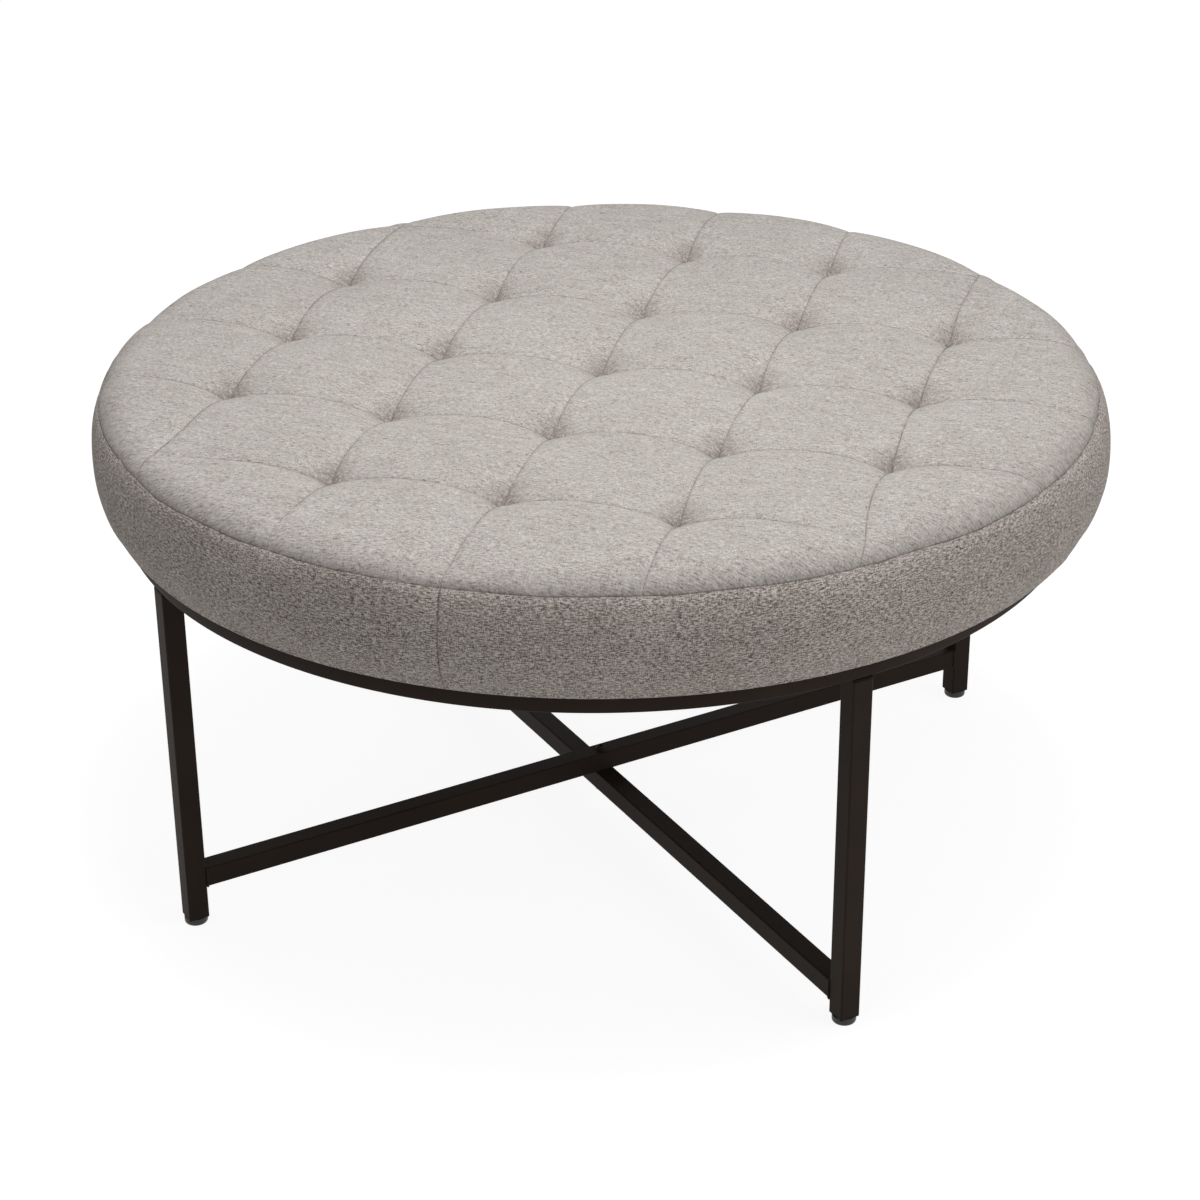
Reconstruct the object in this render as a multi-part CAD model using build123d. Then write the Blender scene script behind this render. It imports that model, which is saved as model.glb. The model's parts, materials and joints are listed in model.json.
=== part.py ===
from build123d import *
import os
from math import hypot, sqrt

os.makedirs("parts", exist_ok=True)

# A low round ottoman: a tufted drum cushion on an open base of square steel tube.
# The floor is at zero height and the middle of the ring is on the vertical axis.
# Tuft rows run along the two level axes and the legs stand on the diagonals.

# Base frame
frame_radius = 428.0  # outer faces of the ring and of the legs
tube_size = 19.0
tube_wall = 1.2
tube_corner = 1.5
ring_chamfer = 1.2  # corners of the rolled tube
leg_length = 328.0
stretcher_rise = 19.0  # floor to the underside of the lower stretcher
leg_angles = {"front_right": -45.0, "front_left": -135.0, "back_right": 45.0, "back_left": 135.0}

# Screw glides under the legs
glide_height = 7.0
glide_diameter = 21.0
glide_chamfer = 2.0  # lower edge of the pad
stem_diameter = 8.0
stem_length = 24.0
insert_length = 14.0
sliding_clearance = 0.05  # all round a stem in its bore
press_clearance = 0.05  # all round a piece held inside a tube

# Bolts, screws and nuts
bolt_diameter = 6.0
bolt_clearance = 0.3  # all round a shank in a plain hole
thread_clearance = 0.05  # all round a shank in its thread
button_diameter = 10.9
button_height = 3.3
button_crown_share = 0.55  # top of a bolt's head against its width
socket_width = 4.0
socket_depth = 2.0
nut_width = 10.0
nut_height = 5.0
bolt_tail = 2.0  # shank left standing past its nut
leg_bolt_length = 16.0
nut_plate_thickness = 3.0
access_diameter = 13.0  # holes for the key in the top of the ring

# Tabs that hold the cushion on the ring
tab_thickness = 3.0
tab_width = 32.0
tab_length = 30.0
tab_corner = 6.0
tab_hole_inset = 17.0  # from the ring's inner face to the screw
tab_turn = 30.0  # degrees round from each leg
tab_screw_length = 13.0

# Cushion cover
cushion_overhang = 25.0  # widest line of the cushion beyond the ring
cloth = 1.0
seam_inset = 15.0  # widest line in to the edge seam
seam_over_foam = 5.8  # top of the foam to the edge seam
bulge_rise = 34.0  # underside of the cushion to its widest line
tuck_inset = 14.5  # widest line in to where the side turns under
hem_lap = 11.0  # how far the hem reaches in past the rim of the dust cover
side_steps = 2  # straight runs that each arc of the side is drawn with
crown_rise = 15.2  # edge seam to the tops of the pillows
shoulder_run = 42.0  # edge seam in to where the top begins to roll down
roll_run = 14.0  # edge seam in to the middle of the roll
roll_drop = 4.5  # tops of the pillows down to the middle of the roll

# Tufting
tuft_margin = 78.0  # inner face of the ring in to the outermost tufts
tuft_rows = 2  # rows on each side of the middle one
pillow_sink = 10.0  # tops of the pillows down to their corners
pit_sink = 17.0  # tops of the pillows down to the tufts
pit_lip = 5.0  # tops of the pillows down to the rim of a pit
pit_radius = 28.0
pit_throat = 4.0
twine_diameter = 2.0
twine_clearance = 0.4
toggle_length = 24.0
toggle_width = 8.0
toggle_thickness = 3.0

# Filling and seat board
filling_clearance = 0.2
board_overhang = 2.0  # board and foam beyond the ring
board_thickness = 12.0
foam_height = 69.0
foam_chamfer = 6.0
tee_flange_diameter = 19.0
tee_flange_thickness = 1.2
tee_barrel_diameter = 8.0
tee_barrel_length = 9.0

# Dust cover
cover_cloth = 0.5
cover_drop = 4.0  # how far the middle hangs below the rim
cover_gap = 3.0  # inner ends of the tabs to the rim of the cover
cover_rim = 8.0
cover_slope = 9.0

overrun = 6.0  # how far cutting bodies pass beyond what they cut

# Radii that follow from the sizes above
tube_middle = frame_radius - tube_size / 2
inner_face = frame_radius - tube_size
tube_bore = tube_size - 2 * tube_wall
tab_radius = inner_face - tab_hole_inset
cushion_radius = frame_radius + cushion_overhang
seam_radius = cushion_radius - seam_inset
tuck_radius = cushion_radius - tuck_inset
shoulder_radius = seam_radius - shoulder_run
board_radius = frame_radius + board_overhang
cover_radius = inner_face - tab_length - cover_gap
hem_radius = cover_radius - hem_lap

# Heights that follow from the sizes above
leg_top = glide_height + leg_length
seat_level = leg_top + tube_size
board_level = seat_level + cloth
foam_level = board_level + board_thickness
foam_top = foam_level + foam_height
seam_level = foam_top + seam_over_foam
bulge_level = seat_level + bulge_rise
crown_level = seam_level + crown_rise
toggle_level = board_level - toggle_thickness
top_level = foam_top + filling_clearance
twine_top = crown_level - pit_sink - cloth


def arc_radius(drop, run):
    """Radius of an arc that falls by drop over run from where it runs level or upright."""
    return (drop * drop + run * run) / (2 * drop)


def arc_reach(radius, rise):
    """How far an arc stands out from its middle at a given rise from the middle."""
    return sqrt(radius * radius - rise * rise)


lower_radius = arc_radius(tuck_inset, bulge_level - seat_level)
upper_radius = arc_radius(seam_inset, seam_level - bulge_level)
tuft_spacing = (inner_face - tuft_margin) / hypot(tuft_rows, tuft_rows - 1)
pillow_radius = arc_radius(pillow_sink, hypot(tuft_spacing, tuft_spacing) / 2)
tufts = [
    (i * tuft_spacing, j * tuft_spacing)
    for i in range(-tuft_rows, tuft_rows + 1)
    for j in range(-tuft_rows, tuft_rows + 1)
    if abs(i) + abs(j) < 2 * tuft_rows
]


# Shared shapes
def save(shape, name):
    """Write one piece of the ottoman to its own file."""
    export_step(shape, "parts/" + name + ".step")


def rod(radius, low, high):
    """Upright round bar on the axis between two heights."""
    return Pos(0, 0, low) * Cylinder(radius, high - low, align=(Align.CENTER, Align.CENTER, Align.MIN))


def at_angle(angle, radius=0.0):
    """Place for a piece at an angle round the axis, its own X pointing outward."""
    return Rot(0, 0, angle) * Pos(radius, 0, 0)


def turned(edges):
    """Round body from outline edges drawn as distance from the axis against height."""
    return revolve(Plane.XZ * make_face(edges), Axis.Z)


def side_points(inset, low):
    """Points up the cushion's side, from a level to the edge seam, set in by a distance."""
    below = [low + (bulge_level - low) * step / side_steps for step in range(side_steps)]
    above = [bulge_level + (seam_level - bulge_level) * step / side_steps for step in range(side_steps + 1)]
    lower = [cushion_radius - lower_radius + arc_reach(lower_radius - inset, z - bulge_level) for z in below]
    upper = [cushion_radius - upper_radius + arc_reach(upper_radius - inset, z - bulge_level) for z in above]
    return list(zip(lower + upper, below + above))


def square_tube(length):
    """Upright square tube, open at both ends, standing on the zero level."""
    section = RectangleRounded(tube_size, tube_size, tube_corner) - Rectangle(tube_bore, tube_bore)
    return extrude(section, length)


def button_bolt(length):
    """Round-headed bolt pointing down, the underside of its head on the zero level."""
    crown = button_diameter / 2 * button_crown_share
    head = Cone(button_diameter / 2, crown, button_height, align=(Align.CENTER, Align.CENTER, Align.MIN))
    socket = extrude(RegularPolygon(socket_width / 2, 6, major_radius=False), socket_depth)
    head -= Pos(0, 0, button_height - socket_depth) * socket
    return head + rod(bolt_diameter / 2, -length, 0.0)


def twine_holes(low, high):
    """Six-sided cutting bodies for the twine, one at every tuft."""
    hole = extrude(RegularPolygon(twine_diameter / 2 + twine_clearance, 6), high - low)
    return [Pos(x, y, low) * hole for x, y in tufts]


# Ring of rolled square tube, with bolt holes over the legs
def seat_ring():
    """Closed ring that carries the cushion."""
    section = Rectangle(tube_size, tube_size)
    section = chamfer(section.vertices(), ring_chamfer) - Rectangle(tube_bore, tube_bore)
    ring = revolve(Plane.XZ * Pos(tube_middle, leg_top + tube_size / 2) * section, Axis.Z)
    for angle in leg_angles.values():
        place = at_angle(angle, tube_middle)
        ring -= place * rod(access_diameter / 2, seat_level - tube_size / 2, seat_level + overrun)
        ring -= place * rod(bolt_diameter / 2 + bolt_clearance, leg_top - overrun, leg_top + tube_size / 2)
    return ring


save(seat_ring(), "seat_ring")


# Four tabs inside the ring, each with its screw hole
def mounting_tab():
    """Tab with cut inner corners, its outer end on the ring's inner face."""
    plate = Rectangle(tab_length + overrun, tab_width, align=(Align.MIN, Align.CENTER))
    plate = chamfer(plate.vertices().group_by(Axis.X)[0], tab_corner)
    plate = (Pos(inner_face - tab_length, 0) * plate) & Circle(inner_face)
    plate -= Pos(tab_radius, 0) * Circle(bolt_diameter / 2 + bolt_clearance)
    return Pos(0, 0, seat_level - tab_thickness) * extrude(plate, tab_thickness)


for corner, angle in leg_angles.items():
    save(at_angle(angle + tab_turn) * mounting_tab(), "mounting_tab_" + corner)


# Screws that hold the seat board down on the tabs
def tab_screws():
    """Four screws driven up through the tabs."""
    screw = Rot(180, 0, 0) * button_bolt(tab_screw_length)
    return [
        at_angle(angle + tab_turn, tab_radius) * Pos(0, 0, seat_level - tab_thickness) * screw
        for angle in leg_angles.values()
    ]


save(Compound(tab_screws()), "tab_screws")


# Legs, with a threaded plate at the top and a threaded insert at the foot
def nut_plate():
    """Square plate fixed inside the top of a leg."""
    side = tube_bore - 2 * press_clearance
    plate = extrude(Rectangle(side, side), nut_plate_thickness)
    plate -= rod(bolt_diameter / 2 + thread_clearance, -overrun, nut_plate_thickness + overrun)
    return Pos(0, 0, leg_top - nut_plate_thickness) * plate


def foot_insert():
    """Square plug with a threaded bore, set in the foot of a leg."""
    side = tube_bore - 2 * press_clearance
    plug = extrude(Rectangle(side, side), insert_length)
    plug -= rod(stem_diameter / 2 + sliding_clearance, -overrun, insert_length + overrun)
    return Pos(0, 0, glide_height) * plug


# Glides: a round pad on a threaded stem
def glide_pad():
    """Round pad that stands on the floor."""
    pad = rod(glide_diameter / 2, 0.0, glide_height)
    return chamfer(pad.edges().group_by(Axis.Z)[0], glide_chamfer)


def glide_stem():
    """Threaded stem standing on the pad."""
    return rod(stem_diameter / 2, glide_height, glide_height + stem_length)


for corner, angle in leg_angles.items():
    place = at_angle(angle, tube_middle)
    save(place * Pos(0, 0, glide_height) * square_tube(leg_length), "leg_" + corner)
    save(place * nut_plate(), "leg_nut_plate_" + corner)
    save(place * foot_insert(), "leg_insert_" + corner)
    save(place * glide_pad(), "glide_pad_" + corner)
    save(place * glide_stem(), "glide_stem_" + corner)


# Bolts that pull the legs up against the ring, their heads inside the tube
def leg_bolts():
    """Four bolts standing on the ring's lower wall."""
    bolt = Pos(0, 0, leg_top + tube_wall) * button_bolt(leg_bolt_length)
    return [at_angle(angle, tube_middle) * bolt for angle in leg_angles.values()]


save(Compound(leg_bolts()), "leg_bolts")


# Two stretchers, one lying on the other, between opposite legs
def stretcher(level, angle):
    """Level tube between the inner faces of two opposite legs."""
    bar = Pos(-inner_face, 0, level + tube_size / 2) * Rot(0, 90, 0) * square_tube(2 * inner_face)
    bar -= rod(bolt_diameter / 2 + bolt_clearance, level - overrun, level + tube_size + overrun)
    return Rot(0, 0, angle) * bar


lower_top = stretcher_rise + tube_size
upper_top = lower_top + tube_size
save(stretcher(stretcher_rise, leg_angles["front_right"]), "stretcher_lower")
save(stretcher(lower_top, leg_angles["back_right"]), "stretcher_upper")


# Bolt and nut where the stretchers cross
def centre_bolt():
    """Bolt down through both stretchers."""
    return Pos(0, 0, upper_top) * button_bolt(upper_top - stretcher_rise + nut_height + bolt_tail)


def centre_nut():
    """Hexagon nut under the lower stretcher."""
    nut = extrude(RegularPolygon(nut_width / 2, 6, major_radius=False), nut_height)
    nut -= rod(bolt_diameter / 2 + thread_clearance, -overrun, nut_height + overrun)
    return Pos(0, 0, stretcher_rise - nut_height) * nut


save(centre_bolt(), "centre_bolt")
save(centre_nut(), "centre_nut")


# Side of the cushion cover: two strips that meet at upright seams front and back
def boxing():
    """Whole side of the cover with its hem turned in under the seat board."""
    outer = side_points(0.0, seat_level)
    inner = side_points(cloth, board_level)
    hem = [(hem_radius, board_level), (hem_radius, seat_level)]
    side = turned([Polyline(outer + inner[::-1] + hem, close=True)])
    for angle in leg_angles.values():
        place = at_angle(angle + tab_turn, tab_radius)
        side -= place * rod(bolt_diameter / 2 + bolt_clearance, seat_level - overrun, board_level + overrun)
    return side


boxing_whole = boxing()
save(split(boxing_whole, Plane.YZ, keep=Keep.TOP), "boxing_right")
save(split(boxing_whole, Plane.YZ, keep=Keep.BOTTOM), "boxing_left")


# Tufted top: a field of domed pillows with a pit at every tuft
def cell_span(index):
    """Edges of one row of pillows, the outermost rows running past the side."""
    low = index * tuft_spacing
    high = (index + 1) * tuft_spacing
    if index < -tuft_rows:
        low = -cushion_radius - overrun
    if index >= tuft_rows:
        high = cushion_radius + overrun
    return low, high


def pillow_field(low):
    """All the pillows as one body from a level up to their domes."""
    field = []
    rows = range(-tuft_rows - 1, tuft_rows + 1)
    for i in rows:
        for j in rows:
            left, right = cell_span(i)
            front, back = cell_span(j)
            block = Box(right - left, back - front, crown_level - low, align=Align.MIN)
            dome = Rot(90, 0, 0) * Sphere(pillow_radius)
            middle_x = (i + 1 / 2) * tuft_spacing
            middle_y = (j + 1 / 2) * tuft_spacing
            dome = Pos(middle_x, middle_y, crown_level - pillow_radius) * dome
            field.append((Pos(left, front, low) * block) & dome)
    return field[0].fuse(*field[1:])


def pits():
    """Four-sided cutting bodies, one over every tuft, their creases on the pillow lines."""
    slope = (pit_radius - pit_throat) / (pit_sink - pit_lip)
    mouth = pit_throat + slope * (pit_sink + overrun)
    low_face = RegularPolygon(pit_throat, 4)
    high_face = Pos(0, 0, pit_sink + overrun) * RegularPolygon(mouth, 4)
    pit = loft([low_face, high_face], ruled=True)
    return [Pos(x, y, crown_level - pit_sink) * pit for x, y in tufts]


def top_panel():
    """Tufted top filled down to the foam, its rim lying on the upper edge of the side."""
    rest = side_points(cloth + filling_clearance, seat_level)[-1][0]
    outline = [
        (0, top_level),
        (rest, top_level),
        (rest, seam_level),
        (seam_radius, seam_level),
        (seam_radius - roll_run, crown_level - roll_drop),
        (shoulder_radius, crown_level),
        (0, crown_level),
    ]
    panel = turned([Polyline(outline, close=True)]) & pillow_field(top_level)
    return panel - pits() - twine_holes(top_level - overrun, twine_top + twine_clearance)


save(top_panel(), "top_panel")


# Seat board with its holes, and the threaded nuts in it
def tee_nut_places():
    """Places of the threaded nuts in the board, over the tabs."""
    return [at_angle(angle + tab_turn, tab_radius) for angle in leg_angles.values()]


def seat_board():
    """Round plywood board that the cover is pulled round."""
    board = rod(board_radius, board_level, foam_level)
    board -= twine_holes(board_level - overrun, foam_level + overrun)
    for place in tee_nut_places():
        flange = tee_flange_diameter / 2 + press_clearance
        barrel = tee_barrel_diameter / 2 + press_clearance
        board -= place * rod(flange, foam_level - tee_flange_thickness, foam_level + overrun)
        board -= place * rod(barrel, board_level - overrun, foam_level)
    return board


save(seat_board(), "seat_board")


def tee_nuts():
    """Four flanged nuts pressed into the board from above."""
    nut = rod(tee_flange_diameter / 2, foam_level - tee_flange_thickness, foam_level)
    nut += rod(tee_barrel_diameter / 2, foam_level - tee_flange_thickness - tee_barrel_length, foam_level)
    nut -= rod(bolt_diameter / 2 + thread_clearance, board_level - overrun, foam_level + overrun)
    return [place * nut for place in tee_nut_places()]


save(Compound(tee_nuts()), "tee_nuts")


# Filling: a foam slab with fibre round its side
def foam_core():
    """Foam slab with a cut upper edge."""
    slab = rod(board_radius, foam_level, foam_top)
    slab = chamfer(slab.edges().group_by(Axis.Z)[-1], foam_chamfer)
    return slab - twine_holes(foam_level - overrun, foam_top + overrun)


def side_fibre():
    """Band of fibre between the foam and board and the side of the cover."""
    low = board_level + filling_clearance
    outer = side_points(cloth + filling_clearance, low)[:-1]
    inner = board_radius + filling_clearance
    top_radius = side_points(cloth + filling_clearance, low)[-1][0]
    top = [(top_radius - filling_clearance, foam_top), (inner, foam_top), (inner, low)]
    return turned([Polyline(outer + top, close=True)])


save(foam_core(), "foam_core")
save(side_fibre(), "side_fibre")


# Tufting twine, drawn down through the board and tied to a toggle under it
def tuft_twines():
    """One twine at every tuft, from the tufted top to its toggle."""
    twine = extrude(RegularPolygon(twine_diameter / 2, 6), twine_top - toggle_level)
    return [Pos(x, y, toggle_level) * twine for x, y in tufts]


def tuft_toggles():
    """One small bar under the board at every tuft."""
    toggle = extrude(Rectangle(toggle_length, toggle_width), toggle_thickness)
    toggle -= extrude(RegularPolygon(twine_diameter / 2 + twine_clearance, 6), toggle_thickness)
    return [Pos(x, y, toggle_level) * toggle for x, y in tufts]


save(Compound(tuft_twines()), "tuft_twines")
save(Compound(tuft_toggles()), "tuft_toggles")


# Dust cover across the underside, its rim on the hem
def dust_cover():
    """Thin cloth pan that hangs clear of the knots."""
    rim_top = seat_level
    flat_top = seat_level - cover_drop
    knee = cover_radius - cover_rim
    floor_radius = knee - cover_slope
    outline = Polyline(
        (0, flat_top),
        (floor_radius, flat_top),
        (knee, rim_top),
        (cover_radius, rim_top),
        (cover_radius, rim_top - cover_cloth),
        (knee, rim_top - cover_cloth),
        (floor_radius, flat_top - cover_cloth),
        (0, flat_top - cover_cloth),
        close=True,
    )
    return turned([outline])


save(dust_cover(), "dust_cover")
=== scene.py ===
"""Looks of a low round tufted ottoman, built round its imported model.

Lengths in the classes are in millimetres, as a maker would write them, and
become metres only where a mesh, lamp or camera is made. A finish works in
metres, and its scales of noise are counted per metre.
"""

import json
import logging
from dataclasses import dataclass, field
from enum import Enum
from typing import Any, Sequence

import bpy
import numpy as np
from mathutils import Matrix, Vector
from mathutils.geometry import delaunay_2d_cdt


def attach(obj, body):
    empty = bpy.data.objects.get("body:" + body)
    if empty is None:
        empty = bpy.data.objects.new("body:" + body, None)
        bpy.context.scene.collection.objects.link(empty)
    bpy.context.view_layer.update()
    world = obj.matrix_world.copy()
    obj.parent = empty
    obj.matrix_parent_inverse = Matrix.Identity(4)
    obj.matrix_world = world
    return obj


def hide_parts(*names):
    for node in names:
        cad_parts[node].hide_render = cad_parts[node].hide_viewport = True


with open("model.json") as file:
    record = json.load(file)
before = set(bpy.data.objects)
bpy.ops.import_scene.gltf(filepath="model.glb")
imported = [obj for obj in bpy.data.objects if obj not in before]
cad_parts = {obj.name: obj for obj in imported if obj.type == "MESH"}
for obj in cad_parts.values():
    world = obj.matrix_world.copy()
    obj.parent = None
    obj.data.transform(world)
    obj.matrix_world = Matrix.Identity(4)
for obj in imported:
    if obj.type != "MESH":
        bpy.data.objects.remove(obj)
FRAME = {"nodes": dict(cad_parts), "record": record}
LOG = logging.getLogger("ottoman")
MM = 0.001
ROOT = "frame_and_cushion"
CORNERS = {"front_right": -45.0, "front_left": -135.0, "back_right": 45.0, "back_left": 135.0}
LEGS = ["leg_" + corner for corner in CORNERS]

Colour = tuple[float, float, float]
Scales = tuple[float, float, float]  # of a noise along X, Y and Z
WHITE: Colour = (1.0, 1.0, 1.0)


def srgb(red: int, green: int, blue: int) -> Colour:
    """Linear colour of a screen colour.

    Args:
        red: Red from 0 to 255.
        green: Green from 0 to 255.
        blue: Blue from 0 to 255.

    Returns:
        The three linear values.
    """
    share = np.array([red, green, blue]) / 255
    linear = np.where(share <= 0.04045, share / 12.92, ((share + 0.055) / 1.055) ** 2.4)
    return tuple(float(v) for v in linear)


def smooth(low: float, high: float, values: np.ndarray) -> np.ndarray:
    """Eased step from 0 at low to 1 at high: three squares of the share less two cubes."""
    t = np.clip((values - low) / (high - low), 0, 1)
    return t * t * (3 - 2 * t)


# Shader maths


class Signal:
    """A shader socket on which Python's operators add Math nodes."""

    def __init__(self, tree: "Tree", socket: Any) -> None:
        """Keeps the socket and the tree it belongs to."""
        self.tree = tree
        self.socket = socket

    def __add__(self, other: "Signal | float") -> "Signal":
        """Sum of two signals."""
        return self.tree.math("ADD", self, other)

    __radd__ = __add__

    def __mul__(self, other: "Signal | float") -> "Signal":
        """Product of two signals."""
        return self.tree.math("MULTIPLY", self, other)

    __rmul__ = __mul__

    def __sub__(self, other: "Signal | float") -> "Signal":
        """This signal less another."""
        return self.tree.math("SUBTRACT", self, other)

    def __rsub__(self, other: float) -> "Signal":
        """A number less this signal."""
        return self.tree.math("SUBTRACT", other, self)

    def __truediv__(self, other: "Signal | float") -> "Signal":
        """This signal divided by another."""
        return self.tree.math("DIVIDE", self, other)

    def __abs__(self) -> "Signal":
        """Size of this signal without its sign."""
        return self.tree.math("ABSOLUTE", self)

    def step(self, low: float, high: float) -> "Signal":
        """Eased step of this signal.

        Args:
            low: Where it is 0.
            high: Where it is 1, which may be the smaller.

        Returns:
            The step.
        """
        limits = {"Value": self, "From Min": low, "From Max": high}
        found = self.tree.node("ShaderNodeMapRange", {"interpolation_type": "SMOOTHSTEP"}, limits)
        return Signal(self.tree, found.outputs["Result"])

    def peak(self) -> "Signal":
        """Distance from the nearest whole number, from 0 to a half."""
        return abs(self.tree.math("FRACT", self + 0.5) - 0.5)

    def off(self, pitch: float) -> "Signal":
        """Distance from the nearest whole step of a pitch."""
        return (self / pitch).peak() * pitch


class Tree:
    """A node tree that is written as expressions."""

    def __init__(self, tree: bpy.types.NodeTree) -> None:
        """Keeps the tree."""
        self.tree = tree

    def node(self, kind: str, settings: dict[str, Any], inputs: dict[Any, Any]) -> Any:
        """Adds a node.

        Args:
            kind: The node's type.
            settings: Its settings, put in first.
            inputs: Values or signals of its sockets, by name or number.

        Returns:
            The node.
        """
        made = self.tree.nodes.new(kind)
        for key, value in settings.items():
            setattr(made, key, value)
        for key, value in inputs.items():
            if isinstance(value, Signal):
                self.tree.links.new(value.socket, made.inputs[key])
            elif isinstance(value, tuple) and len(made.inputs[key].default_value) == 4:
                made.inputs[key].default_value = (*value, 1.0)
            else:
                made.inputs[key].default_value = value
        return made

    def math(self, operation: str, *values: "Signal | float") -> Signal:
        """Result of a Math node on signals or numbers."""
        found = self.node("ShaderNodeMath", {"operation": operation}, dict(enumerate(values)))
        return Signal(self, found.outputs[0])

    def object_place(self) -> Signal:
        """Place on the object, in metres."""
        return Signal(self, self.node("ShaderNodeTexCoord", {}, {}).outputs["Object"])

    def cloth_place(self) -> Signal:
        """Place on the cut cloth, in metres, from the piece's own map."""
        return Signal(self, self.node("ShaderNodeUVMap", {"uv_map": "cloth"}, {}).outputs["UV"])

    def parts(self, place: Signal) -> tuple[Signal, Signal, Signal]:
        """The three numbers of a place."""
        found = self.node("ShaderNodeSeparateXYZ", {}, {0: place})
        return tuple(Signal(self, found.outputs[k]) for k in range(3))

    def noise(
        self, place: Signal, scale: "float | Scales", detail: float = 2.0, roughness: float = 0.5
    ) -> Signal:
        """Cloudy noise about one half.

        Args:
            place: Where it is read.
            scale: Its scale per metre of place, one for all ways or three.
            detail: Its octaves.
            roughness: How strong the finer octaves are.

        Returns:
            The noise.
        """
        if not isinstance(scale, float):
            scaled = self.node("ShaderNodeMapping", {}, {"Vector": place, "Scale": scale})
            place, scale = Signal(self, scaled.outputs[0]), 1.0
        values = {"Vector": place, "Scale": scale, "Detail": detail, "Roughness": roughness}
        return Signal(self, self.node("ShaderNodeTexNoise", {}, values).outputs[0])

    def mix(self, factor: "Signal | float", first: "Signal | Colour", second: "Signal | Colour") -> Signal:
        """Colour between two colours, the first at a factor of 0 and the second at 1."""
        found = self.node("ShaderNodeMix", {"data_type": "RGBA"}, {0: factor, 6: first, 7: second})
        return Signal(self, found.outputs[2])

    def blend(self, factor: Signal, first: Any, second: Any, end: str) -> None:
        """Joins two surfaces and feeds them to an end of the tree.

        Args:
            factor: Share of the second.
            first: Node of one surface.
            second: Node of the other.
            end: Name of the output node.
        """
        surfaces = {0: factor, 1: Signal(self, first.outputs[0]), 2: Signal(self, second.outputs[0])}
        found = self.node("ShaderNodeMixShader", {}, surfaces)
        self.tree.links.new(found.outputs[0], self.tree.nodes[end].inputs["Surface"])


class Shader(Tree):
    """One material's node tree, with a principled surface at its end."""

    def __init__(self, name: str, roughness: float, **fixed: Any) -> None:
        """Starts a material.

        Args:
            name: The material's name.
            roughness: Roughness set on the surface's own socket.
            fixed: Other sockets of the surface, by name with underscores for spaces.
        """
        self.material = bpy.data.materials.new(name)
        self.material.use_nodes = True
        super().__init__(self.material.node_tree)
        self.surface = self.tree.nodes["Principled BSDF"]
        self.surface.inputs["Roughness"].default_value = roughness
        for key, value in fixed.items():
            self.surface.inputs[key.replace("_", " ")].default_value = value

    def put(self, socket: str, signal: Signal) -> None:
        """Feeds a signal to the surface."""
        self.tree.links.new(signal.socket, self.surface.inputs[socket])

    def bump(self, height: Signal, depth: float, strength: float) -> None:
        """Feeds the surface the normal of a bump, its height a share of a depth in metres."""
        values = {"Height": height, "Distance": depth, "Strength": strength}
        self.put("Normal", Signal(self, self.node("ShaderNodeBump", {}, values).outputs[0]))


# Finishes


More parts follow.
